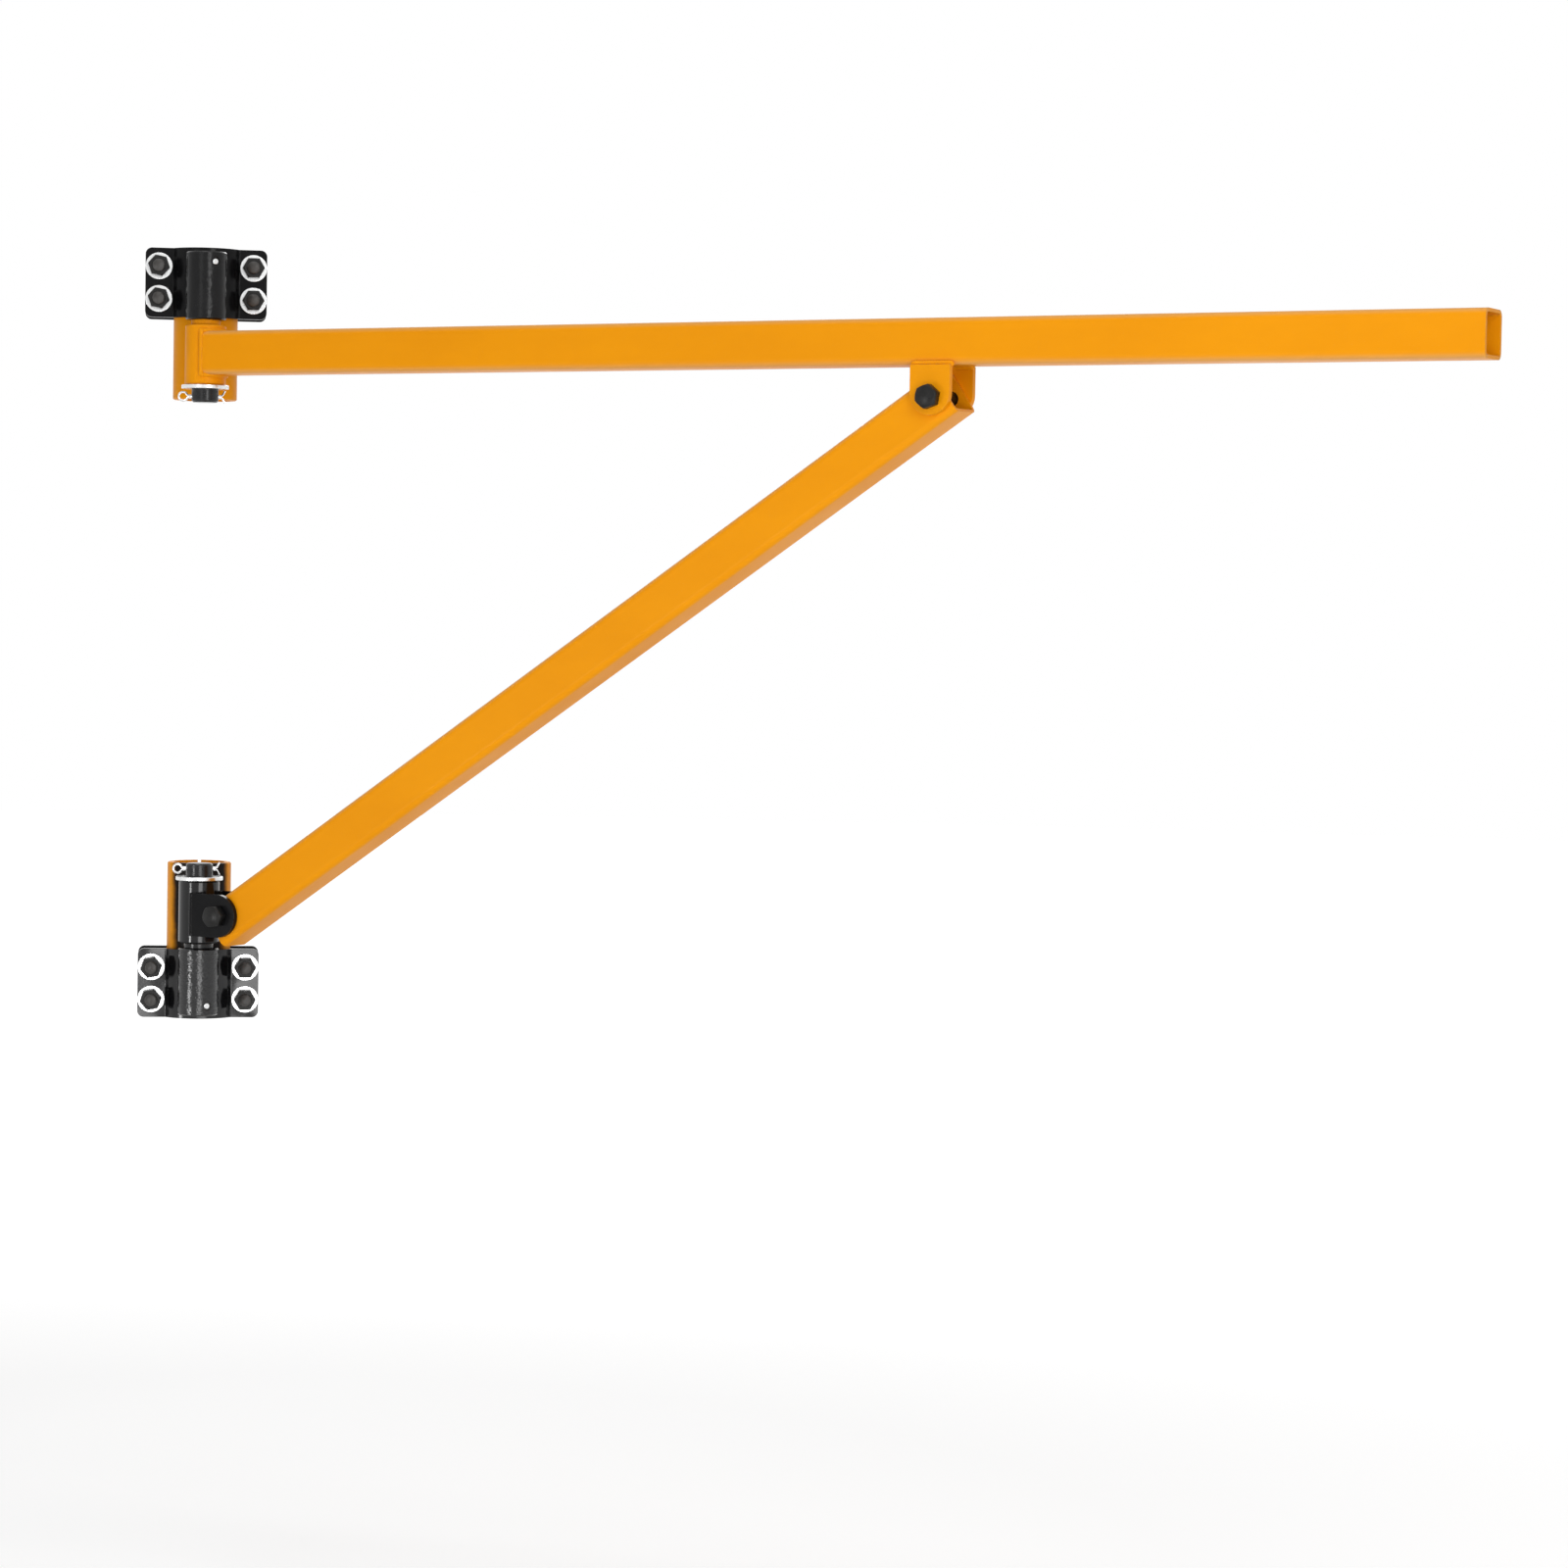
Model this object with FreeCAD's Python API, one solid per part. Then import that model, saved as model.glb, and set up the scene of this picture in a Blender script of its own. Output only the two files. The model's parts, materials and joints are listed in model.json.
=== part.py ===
import FreeCAD, Part
import math
import os

# Swing-arm bracket that carries a small hoist on a round pole.
# Two clamps of pressed plate grip the pole through split sleeves.
# Each clamp holds a pivot pin, and both pins stand on one upright axis.
# A square-tube arm turns on the pins, with a square-tube brace bolted under it.
# Millimetres. +Z is up and +X runs along the arm at rest.
# The origin is on the pole's axis, level with the middle of the arm.

# Arm and brace
arm_length = 1250.0
arm_size = 40.0
arm_wall = 3.0
arm_corner = 6.0
brace_size = 40.0
brace_wall = 2.5
brace_corner = 6.0
brace_ear_rise = 6.0
brace_lug_rise = 2.0
brace_end = 12.5
brace_side_gap = 0.3
brace_notch_gap = 2.0

# Pole sleeves
pole_radius = 24.15
pole_clearance = 0.05
pole_sleeve_radius = 30.0
arm_pole_reach = 67.2
brace_pole_reach = 72.6
pole_sleeve_slit = 3.0
pole_sleeve_chamfer = 1.0

# Clamp halves
plate_thickness = 6.0
plate_height = 65.0
plate_corner = 6.0
plate_bend_radius = 2.0
plate_seat_gap = 0.1
wing_depth = 19.4
bolt_edge_margin = 12.6
bolt_pitch_high = 30.5
clamp_turn_deg = 36.0

# Hinge tubes, sleeves and bushes
hinge_radius = 19.0
hinge_tube_length = 63.0
hinge_tube_offset = 4.0
arm_sleeve_top = 26.3
arm_sleeve_length = 55.5
brace_sleeve_below = 27.9
brace_sleeve_length = 58.5
hinge_sleeve_bore = 15.0
hinge_chamfer = 1.2
bush_length = 20.0
running_clearance = 0.05
face_gap = 0.3

# Pivot pins and what keeps them in
pin_radius = 12.5
pin_chamfer = 1.5
pin_head_recess = 1.5
pin_fixed_clearance = 0.1
pin_tail_length = 12.5
thrust_ring_radius = 13.6
thrust_ring_height = 4.7
pin_washer_radius = 22.0
pin_washer_height = 3.5
pin_washer_clearance = 0.3
lock_pin_radius = 2.8
lock_pin_turn_deg = 27.0
lock_pin_drop = 9.5
lock_pin_reach = 8.0
lock_pin_recess = 0.5
lock_sink_radius = 4.4
lock_sink_depth = 1.5
small_chamfer = 0.4

# Split pins
split_radius = 1.8
split_gap = 0.1
split_hole_clearance = 0.2
split_eye_radius = 3.2
split_neck_radius = 2.6
split_stand = 7.2
split_bend_radius = 3.6
split_bend_deg = 62.0
split_leg_length = 4.0

# Ears on the brace's sleeve
ear_thickness = 5.0
ear_radius = 20.0
ear_reach = 38.0
ear_root = 10.0
ear_drop = 523.5

# Lug under the arm
lug_reach = 765.0
lug_drop = 27.3
lug_width = 37.5
lug_round_rise = 3.3

# Clamp fasteners, M12
clamp_bolt_radius = 6.0
clamp_hex_flats = 18.0
clamp_head_height = 7.5
clamp_nut_height = 10.0
clamp_nut_turn_deg = -11.0
clamp_washer_radius = 12.5
clamp_washer_height = 2.5
clamp_bolt_proud = 3.0

# Brace fasteners, M12
brace_bolt_radius = 6.0
brace_hex_flats = 18.5
brace_head_height = 9.0
brace_nut_height = 10.0
brace_washer_radius = 12.0
brace_washer_height = 2.5
brace_bolt_proud = 3.0
lug_head_turn_deg = 20.0
ear_head_turn_deg = 8.0

# Common to the fasteners and welds
bolt_hole_clearance = 0.5
washer_clearance = 0.3
washer_seat_gap = 0.1
bolt_end_chamfer = 1.0
hex_chamfer_share = 0.08
tube_weld_radius = 5.0
tube_weld_spread = 10.5
root_weld_radius = 2.5
ear_weld_radius = 4.0
lug_weld_radius = 5.0
lug_weld_overrun = 2.0
cut_overrun = 5.0
edge_tolerance = 0.01

# Worked out from the values above
bulge_inner = pole_sleeve_radius + plate_seat_gap
bulge_outer = bulge_inner + plate_thickness
pivot_reach = bulge_outer + hinge_radius
bend_height = wing_depth + plate_bend_radius
bend_reach = bulge_outer + plate_bend_radius
bend_side = math.sqrt(bend_reach ** 2 - bend_height ** 2)
bolt_side = bend_side + clamp_washer_radius + washer_seat_gap
plate_half = bolt_side + bolt_edge_margin
tube_base = face_gap + thrust_ring_height
tube_top = tube_base + hinge_tube_length
plate_base = tube_base + hinge_tube_offset
plate_top = plate_base + plate_height
bolt_level = plate_base + plate_height / 2
lock_pin_length = lock_pin_reach + hinge_radius - pin_radius - lock_pin_recess
fork_inner = brace_size / 2 + brace_side_gap
fork_outer = fork_inner + ear_thickness
brace_sleeve_base = ear_drop + brace_sleeve_below
ear_bolt = FreeCAD.Vector(ear_reach, 0, -ear_drop)
lug_bolt = FreeCAD.Vector(lug_reach, 0, -arm_size / 2 - lug_drop)
brace_span = (lug_bolt - ear_bolt).Length
bolt_line_deg = math.degrees(math.atan2(lug_bolt.z - ear_bolt.z, lug_bolt.x - ear_bolt.x))
brace_tilt_deg = math.degrees(math.asin((brace_ear_rise - brace_lug_rise) / brace_span))

ORIGIN = FreeCAD.Vector(0, 0, 0)
X_AXIS = FreeCAD.Vector(1, 0, 0)
Y_AXIS = FreeCAD.Vector(0, 1, 0)
Z_AXIS = FreeCAD.Vector(0, 0, 1)


def vector(x, y, z):
    return FreeCAD.Vector(x, y, z)


def line(start, end):
    return Part.LineSegment(start, end).toShape()


def arc(start, middle, end):
    return Part.Arc(start, middle, end).toShape()


def block(low, high):
    """A box between two opposite corners."""
    size = high - low
    return Part.makeBox(size.x, size.y, size.z, low)


def bar(radius, start, length, direction):
    """A round bar that starts at a point and runs along a direction."""
    return Part.makeCylinder(radius, length, start, direction)


def capsule(radius, start, length, direction):
    """A round bar with ball ends."""
    body = bar(radius, start, length, direction)
    for place in (start, start + direction * length):
        body = body.fuse(Part.makeSphere(radius, place))
    return body


def turned(shape, angle_deg, axis=Z_AXIS):
    """The shape turned about an axis through the origin."""
    copy = shape.copy()
    copy.rotate(ORIGIN, axis, angle_deg)
    return copy


def moved(shape, offset):
    """The shape moved by an offset."""
    copy = shape.copy()
    copy.translate(offset)
    return copy


def aimed(shape, start, direction):
    """A shape drawn up the Z axis, placed at a point and aimed along a direction."""
    copy = shape.copy()
    copy.Placement = FreeCAD.Placement(start, FreeCAD.Rotation(Z_AXIS, direction)).multiply(copy.Placement)
    return copy


def edges_along(shape, axis):
    """The straight edges that run along an axis."""
    found = []
    for edge in shape.Edges:
        ends = [vertex.Point for vertex in edge.Vertexes]
        if len(ends) == 2 and isinstance(edge.Curve, Part.Line):
            run = (ends[1] - ends[0]).normalize()
            if abs(abs(run.dot(axis)) - 1) < edge_tolerance:
                found.append(edge)
    return found


def upper_rims(shape):
    """The round edges at the top of an upright turned piece."""
    top = shape.BoundBox.ZMax
    return [edge for edge in shape.Edges if edge.BoundBox.ZMin > top - edge_tolerance]


def upright_bar(radius, low, high, chamfer):
    """A round bar about the Z axis with both rims chamfered."""
    body = bar(radius, vector(0, 0, low), high - low, Z_AXIS)
    rims = [edge for edge in body.Edges if edge.BoundBox.ZLength < edge_tolerance]
    return body.makeChamfer(chamfer, rims)


def upright_tube(outer, inner, low, high, chamfer):
    """A round tube about the Z axis with its outer rims chamfered."""
    return upright_bar(outer, low, high, chamfer).cut(bar(inner, vector(0, 0, low), high - low, Z_AXIS))


def square_tube(size, wall, corner, start, end):
    """A square tube along X with rounded corners, centred on the X axis."""
    half = size / 2
    inner = half - wall
    outer_body = block(vector(start, -half, -half), vector(end, half, half))
    outer_body = outer_body.makeFillet(corner, edges_along(outer_body, X_AXIS))
    bore = block(vector(start, -inner, -inner), vector(end, inner, inner))
    bore = bore.makeFillet(corner - wall, edges_along(bore, X_AXIS))
    return outer_body.cut(bore)


def hexagon(flats, height, turn_deg=0.0):
    """A hexagonal prism on the Z axis, with its top corners chamfered."""
    corner = flats / math.sqrt(3)
    points = []
    for index in range(7):
        angle = math.radians(60 * index + turn_deg)
        points.append(vector(corner * math.cos(angle), corner * math.sin(angle), 0))
    body = Part.Face(Part.makePolygon(points)).extrude(vector(0, 0, height))
    envelope = bar(corner, ORIGIN, height, Z_AXIS)
    envelope = envelope.makeChamfer(flats * hex_chamfer_share, upper_rims(envelope))
    return body.common(envelope)


def hex_bolt(radius, flats, head_height, length, turn_deg=0.0):
    """A bolt with its shank up the Z axis and its head below the origin."""
    head = turned(hexagon(flats, head_height, turn_deg), 180, X_AXIS)
    shank = bar(radius, ORIGIN, length, Z_AXIS)
    shank = shank.makeChamfer(bolt_end_chamfer, upper_rims(shank))
    return head.fuse(shank).removeSplitter()


def hex_nut(radius, flats, height, turn_deg=0.0):
    """A nut that stands on the origin."""
    return hexagon(flats, height, turn_deg).cut(bar(radius, ORIGIN, height, Z_AXIS))


def washer(radius, bolt_radius, height):
    """A flat washer that stands on the origin."""
    return bar(radius, ORIGIN, height, Z_AXIS).cut(bar(bolt_radius + washer_clearance, ORIGIN, height, Z_AXIS))


def pole_sleeve(reach):
    """The thick split sleeve between the clamp and the pole."""
    body = upright_tube(pole_sleeve_radius, pole_radius + pole_clearance, -reach, plate_top, pole_sleeve_chamfer)
    low = vector(-pole_sleeve_slit / 2, 0, -reach)
    high = vector(pole_sleeve_slit / 2, pole_sleeve_radius, plate_top)
    return body.cut(block(low, high))


def clamp_bolt_places():
    """The side and the level of each of a clamp's four bolts."""
    places = []
    for side in (-1, 1):
        for level in (-1, 1):
            places.append((side * bolt_side, bolt_level + level * bolt_pitch_high / 2))
    return places


def bend_point(side, radius, turn):
    """A point on one face of the bend between the bulge and a wing, measured from the wing's end."""
    return vector(side * (bend_side - radius * math.sin(turn)), -bend_height + radius * math.cos(turn), 0)


def pressed_outline():
    """The outline of the front clamp half, seen from above."""
    outer = plate_bend_radius
    inner = plate_bend_radius + plate_thickness
    turn = math.atan2(bend_side, bend_height)
    corners = {}
    for side in (-1, 1):
        corners[side, "front"] = vector(side * plate_half, -wing_depth, 0)
        corners[side, "back"] = vector(side * plate_half, plate_thickness - wing_depth, 0)
    return Part.Wire([
        line(corners[-1, "front"], bend_point(-1, outer, 0)),
        arc(bend_point(-1, outer, 0), bend_point(-1, outer, turn / 2), bend_point(-1, outer, turn)),
        arc(bend_point(-1, outer, turn), vector(0, -bulge_outer, 0), bend_point(1, outer, turn)),
        arc(bend_point(1, outer, turn), bend_point(1, outer, turn / 2), bend_point(1, outer, 0)),
        line(bend_point(1, outer, 0), corners[1, "front"]),
        line(corners[1, "front"], corners[1, "back"]),
        line(corners[1, "back"], bend_point(1, inner, 0)),
        arc(bend_point(1, inner, 0), bend_point(1, inner, turn / 2), bend_point(1, inner, turn)),
        arc(bend_point(1, inner, turn), vector(0, -bulge_inner, 0), bend_point(-1, inner, turn)),
        arc(bend_point(-1, inner, turn), bend_point(-1, inner, turn / 2), bend_point(-1, inner, 0)),
        line(bend_point(-1, inner, 0), corners[-1, "back"]),
        line(corners[-1, "back"], corners[-1, "front"]),
    ])


def clamp_half():
    """The front clamp half: a bulge round the sleeve between two flat wings, pressed from one plate."""
    body = Part.Face(pressed_outline()).extrude(Z_AXIS * plate_height)
    body = moved(body, vector(0, 0, plate_base))
    trim = block(vector(-plate_half, -pivot_reach, plate_base), vector(plate_half, 0, plate_top))
    body = body.common(trim.makeFillet(plate_corner, edges_along(trim, Y_AXIS)))
    for side, level in clamp_bolt_places():
        start = vector(side, -wing_depth - cut_overrun, level)
        body = body.cut(bar(clamp_bolt_radius + bolt_hole_clearance, start, wing_depth + cut_overrun, Y_AXIS))
    return body


def lock_pin_line():
    """Where the lock pin starts inside the pivot pin, and the way it points out."""
    turn = math.radians(lock_pin_turn_deg)
    outward = vector(math.sin(turn), -math.cos(turn), 0)
    middle = vector(0, -pivot_reach, tube_top - lock_pin_drop)
    return middle + outward * (pin_radius - lock_pin_reach), outward


def hinge_tube():
    """The tube on the front clamp half that holds the pivot pin."""
    bore = pin_radius + pin_fixed_clearance
    tube = upright_tube(hinge_radius, bore, tube_base, tube_top, hinge_chamfer)
    tube = moved(tube, vector(0, -pivot_reach, 0))
    start, outward = lock_pin_line()
    sink_start = start + outward * (lock_pin_length + lock_pin_recess - lock_sink_depth)
    tube = tube.cut(bar(lock_pin_radius, start, hinge_radius + cut_overrun, outward))
    return tube.cut(bar(lock_sink_radius, sink_start, hinge_radius, outward))


def tube_welds():
    """The two beads in the grooves between the hinge tube and the clamp half."""
    low = plate_base + tube_weld_radius
    high = tube_top - tube_weld_radius
    tube = bar(hinge_radius, vector(0, -pivot_reach, plate_base), plate_height, Z_AXIS)
    bulge = bar(bulge_outer, vector(0, 0, plate_base), plate_height, Z_AXIS)
    beads = []
    for side in (-1, 1):
        bead = capsule(tube_weld_radius, vector(side * tube_weld_spread, -bulge_outer, low), high - low, Z_AXIS)
        beads.append(bead.cut(tube).cut(bulge))
    return Part.makeCompound(beads)


def pivot_pin(washer_base):
    """The round pin, with a blind hole for the lock pin and a cross hole for the split pin."""
    pin = upright_bar(pin_radius, washer_base - pin_tail_length, tube_top - pin_head_recess, pin_chamfer)
    pin = moved(pin, vector(0, -pivot_reach, 0))
    start, outward = lock_pin_line()
    pin = pin.cut(bar(lock_pin_radius, start, pin_radius + cut_overrun, outward))
    hole_start = vector(-pin_radius - cut_overrun, -pivot_reach, washer_base - split_stand)
    hole_length = 2 * (pin_radius + cut_overrun)
    return pin.cut(bar(split_radius + split_hole_clearance, hole_start, hole_length, X_AXIS))


def lock_pin():
    """The pin across the hinge tube that stops the pivot pin from turning."""
    start, outward = lock_pin_line()
    return aimed(upright_bar(lock_pin_radius, 0, lock_pin_length, small_chamfer), start, outward)


def pin_washer(washer_base):
    """The thick washer on the free side of the hinge sleeve."""
    bore = pin_radius + pin_washer_clearance
    ring = upright_tube(pin_washer_radius, bore, washer_base, washer_base + pin_washer_height, small_chamfer)
    return moved(ring, vector(0, -pivot_reach, 0))


def thrust_ring():
    """The narrow ring between the hinge tube and the hinge sleeve."""
    bore = pin_radius + running_clearance
    ring = upright_tube(thrust_ring_radius, bore, tube_base - thrust_ring_height, tube_base, small_chamfer)
    return moved(ring, vector(0, -pivot_reach, 0))


def split_pin(washer_base):
    """Half-round wire folded double, with an eye at one side and curled legs at the other."""
    lane = split_gap / 2
    rise = lane + split_neck_radius
    eye_start = -pin_radius - split_neck_radius
    set_back = math.sqrt((split_eye_radius + split_neck_radius) ** 2 - rise ** 2)
    neck_turn = math.atan2(set_back, rise)
    bend = math.radians(split_bend_deg)
    hole_end = pin_radius + split_radius

    def neck(side, turn):
        """A point on the small bend from one leg into the eye."""
        return vector(eye_start - split_neck_radius * math.sin(turn), 0,
                      side * (rise - split_neck_radius * math.cos(turn)))

    def curl(side, turn):
        """A point on the bend near the end of one leg."""
        return vector(hole_end + split_bend_radius * math.sin(turn), 0,
                      side * (lane + split_bend_radius * (1 - math.cos(turn))))

    def tip(side):
        """The far end of one leg."""
        return curl(side, bend) + vector(math.cos(bend), 0, side * math.sin(bend)) * split_leg_length

    eye_back = vector(eye_start - set_back - split_eye_radius, 0, 0)
    path = Part.Wire([
        line(tip(1), curl(1, bend)),
        arc(curl(1, bend), curl(1, bend / 2), curl(1, 0)),
        line(curl(1, 0), neck(1, 0)),
        arc(neck(1, 0), neck(1, neck_turn / 2), neck(1, neck_turn)),
        arc(neck(1, neck_turn), eye_back, neck(-1, neck_turn)),
        arc(neck(-1, neck_turn), neck(-1, neck_turn / 2), neck(-1, 0)),
        line(neck(-1, 0), curl(-1, 0)),
        arc(curl(-1, 0), curl(-1, bend / 2), curl(-1, bend)),
        line(curl(-1, bend), tip(-1)),
    ])
    front = tip(1) - Y_AXIS * split_radius
    back = tip(1) + Y_AXIS * split_radius
    crown = tip(1) + vector(-math.sin(bend), 0, math.cos(bend)) * split_radius
    profile = Part.Wire([line(front, back), arc(back, crown, front)])
    wire = path.makePipeShell([profile], True, True)
    return moved(wire, vector(0, -pivot_reach, washer_base - split_stand))


def clamp_bolts():
    """Four bolts with their heads behind the back half."""
    seat = wing_depth + clamp_washer_height
    length = 2 * seat + clamp_nut_height + clamp_bolt_proud
    bolt = hex_bolt(clamp_bolt_radius, clamp_hex_flats, clamp_head_height, length)
    return Part.makeCompound([aimed(bolt, vector(side, seat, level), -Y_AXIS) for side, level in clamp_bolt_places()])


def clamp_nuts():
    """Four nuts in front of the front half."""
    seat = wing_depth + clamp_washer_height
    nuts = []
    for side, level in clamp_bolt_places():
        turn_deg = clamp_nut_turn_deg if side < 0 else 0.0
        nut = hex_nut(clamp_bolt_radius, clamp_hex_flats, clamp_nut_height, turn_deg)
        nuts.append(aimed(nut, vector(side, -seat, level), -Y_AXIS))
    return Part.makeCompound(nuts)


def clamp_washers():
    """A washer under each nut and each bolt head."""
    ring = washer(clamp_washer_radius, clamp_bolt_radius, clamp_washer_height)
    rings = []
    for side, level in clamp_bolt_places():
        for facing in (-1, 1):
            rings.append(aimed(ring, vector(side, facing * wing_depth, level), Y_AXIS * facing))
    return Part.makeCompound(rings)


def clamp_end(sleeve_length, pole_reach):
    """Every piece that stays on the pole at one pivot, drawn up from the end of the hinge sleeve."""
    front = clamp_half()
    washer_base = -sleeve_length - face_gap - pin_washer_height
    return {
        "pole_sleeve": pole_sleeve(pole_reach),
        "clamp_front": front,
        "clamp_back": turned(front, 180),
        "hinge_tube": hinge_tube(),
        "tube_welds": tube_welds(),
        "pivot_pin": pivot_pin(washer_base),
        "lock_pin": lock_pin(),
        "thrust_ring": thrust_ring(),
        "pin_washer": pin_washer(washer_base),
        "split_pin": split_pin(washer_base),
        "clamp_bolts": clamp_bolts(),
        "clamp_nuts": clamp_nuts(),
        "clamp_washers": clamp_washers(),
    }


def hinge_sleeve(low, high):
    """A tube that turns on a pivot pin."""
    return upright_tube(hinge_radius, hinge_sleeve_bore, low, high, hinge_chamfer)


def hinge_bushes(low, high):
    """A plain bush in each end of a hinge sleeve."""
    bushes = []
    for base in (low, high - bush_length):
        start = vector(0, 0, base)
        bush = bar(hinge_sleeve_bore, start, bush_length, Z_AXIS)
        bushes.append(bush.cut(bar(pin_radius + running_clearance, start, bush_length, Z_AXIS)))
    return Part.makeCompound(bushes)


def arm_start():
    """Where the arm's side walls meet the hinge sleeve."""
    inner = arm_size / 2 - arm_wall
    return math.sqrt(hinge_radius ** 2 - inner ** 2)


def arm_tube():
    """The long square arm, cut at one end to sit round its hinge sleeve."""
    tube = square_tube(arm_size, arm_wall, arm_corner, arm_start(), arm_length)
    return tube.cut(bar(hinge_radius, vector(0, 0, -arm_size), 2 * arm_size, Z_AXIS))


def arm_root_weld(arm):
    """The bead that runs round the arm where it meets its hinge sleeve."""
    half = arm_size / 2
    start_x = arm_start()
    side_y = half - arm_wall / 2
    keep = block(vector(start_x, -half, -arm_size), vector(arm_size, half, arm_size))
    pieces = []
    for level in (-1, 1):
        hoop = Part.makeTorus(hinge_radius, root_weld_radius, vector(0, 0, level * half), Z_AXIS)
        pieces.append(hoop.common(keep))
    for side in (-1, 1):
        pieces.append(capsule(root_weld_radius, vector(start_x, side * side_y, -half), arm_size, Z_AXIS))
    bead = pieces[0].multiFuse(pieces[1:]).cut(arm)
    return bead.cut(bar(hinge_radius, vector(0, 0, -arm_size), 2 * arm_size, Z_AXIS))


def fork_plate(side, outline, bolt_place):
    """One leg of a fork that holds the brace, cut from flat plate, with its bolt hole."""
    low_y = fork_inner if side > 0 else -fork_outer
    plate = Part.Face(outline).extrude(Y_AXIS * ear_thickness)
    plate = moved(plate, vector(0, low_y, 0))
    start = vector(bolt_place.x, low_y - cut_overrun, bolt_place.z)
    return plate.cut(bar(brace_bolt_radius + bolt_hole_clearance, start, ear_thickness + 2 * cut_overrun, Y_AXIS))


def lug_outline():
    """A strap with a half-round lower end."""
    half = lug_width / 2
    round_level = lug_bolt.z + lug_round_rise
    top_left = vector(lug_reach - half, 0, -arm_size / 2)
    top_right = vector(lug_reach + half, 0, -arm_size / 2)
    left = vector(lug_reach - half, 0, round_level)
    right = vector(lug_reach + half, 0, round_level)
    bottom = vector(lug_reach, 0, round_level - half)
    return Part.Wire([
        line(top_left, top_right),
        line(top_right, right),
        arc(right, bottom, left),
        line(left, top_left),
    ])


def ear_outline():
    """A strap with a half-round outer end."""
    top = ear_bolt.z + ear_radius
    bottom = ear_bolt.z - ear_radius
    nose = vector(ear_reach + ear_radius, 0, ear_bolt.z)
    return Part.Wire([
        line(vector(ear_root, 0, top), vector(ear_reach, 0, top)),
        arc(vector(ear_reach, 0, top), nose, vector(ear_reach, 0, bottom)),
        line(vector(ear_reach, 0, bottom), vector(ear_root, 0, bottom)),
        line(vector(ear_root, 0, bottom), vector(ear_root, 0, top)),
    ])


def lug_welds(arm, plates):
    """The bead along the top of each lug plate, under the arm's lower corners."""
    beads = []
    length = lug_width + 2 * lug_weld_overrun - lug_weld_radius
    for side, plate in zip((-1, 1), plates):
        start = vector(lug_reach - length / 2, side * (fork_inner + washer_clearance), -arm_size / 2)
        bead = capsule(lug_weld_radius, start, length, X_AXIS)
        beads.append(bead.cut(arm).cut(plate))
    return Part.makeCompound(beads)


def ear_welds(plates):
    """The bead that joins the root of each ear to the hinge sleeve."""
    low = ear_bolt.z - ear_radius
    sleeve_body = bar(hinge_radius, vector(0, 0, low - ear_radius), 4 * ear_radius, Z_AXIS)
    beads = []
    for side, plate in zip((-1, 1), plates):
        start = vector(ear_root - ear_weld_radius / 2, side * fork_inner, low)
        bead = bar(ear_weld_radius, start, 2 * ear_radius, Z_AXIS)
        beads.append(bead.cut(sleeve_body).cut(plate))
    return Part.makeCompound(beads)


def brace_tube():
    """The sloping square tube, with its lower end notched to clear the hinge sleeve."""
    tube = square_tube(brace_size, brace_wall, brace_corner, -brace_end, brace_span + brace_end)
    tube = moved(turned(tube, -brace_tilt_deg, Y_AXIS), vector(0, 0, -brace_ear_rise))
    for place in (0, brace_span):
        start = vector(place, -brace_size, 0)
        tube = tube.cut(bar(brace_bolt_radius + bolt_hole_clearance, start, 2 * brace_size, Y_AXIS))
    tube = moved(turned(tube, -bolt_line_deg, Y_AXIS), ear_bolt)
    notch_start = vector(0, 0, -ear_drop - brace_sleeve_length)
    return tube.cut(bar(hinge_radius + brace_notch_gap, notch_start, 2 * brace_sleeve_length, Z_AXIS))


def brace_bolts():
    """The two bolts through the brace's ends, with their heads at the front."""
    length = 2 * fork_outer + brace_washer_height + brace_nut_height + brace_bolt_proud
    bolts = []
    for place, turn_deg in ((lug_bolt, lug_head_turn_deg), (ear_bolt, ear_head_turn_deg)):
        bolt = hex_bolt(brace_bolt_radius, brace_hex_flats, brace_head_height, length, turn_deg)
        bolts.append(aimed(bolt, vector(place.x, -fork_outer, place.z), Y_AXIS))
    return Part.makeCompound(bolts)


def brace_nuts():
    """The nuts behind the lug and the ears."""
    nuts = []
    for place, turn_deg in ((lug_bolt, ear_head_turn_deg), (ear_bolt, lug_head_turn_deg)):
        nut = hex_nut(brace_bolt_radius, brace_hex_flats, brace_nut_height, turn_deg)
        nuts.append(aimed(nut, vector(place.x, fork_outer + brace_washer_height, place.z), Y_AXIS))
    return Part.makeCompound(nuts)


def brace_washers():
    """The washers under the two nuts."""
    ring = washer(brace_washer_radius, brace_bolt_radius, brace_washer_height)
    places = (lug_bolt, ear_bolt)
    return Part.makeCompound([aimed(ring, vector(place.x, fork_outer, place.z), Y_AXIS) for place in places])


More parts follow.
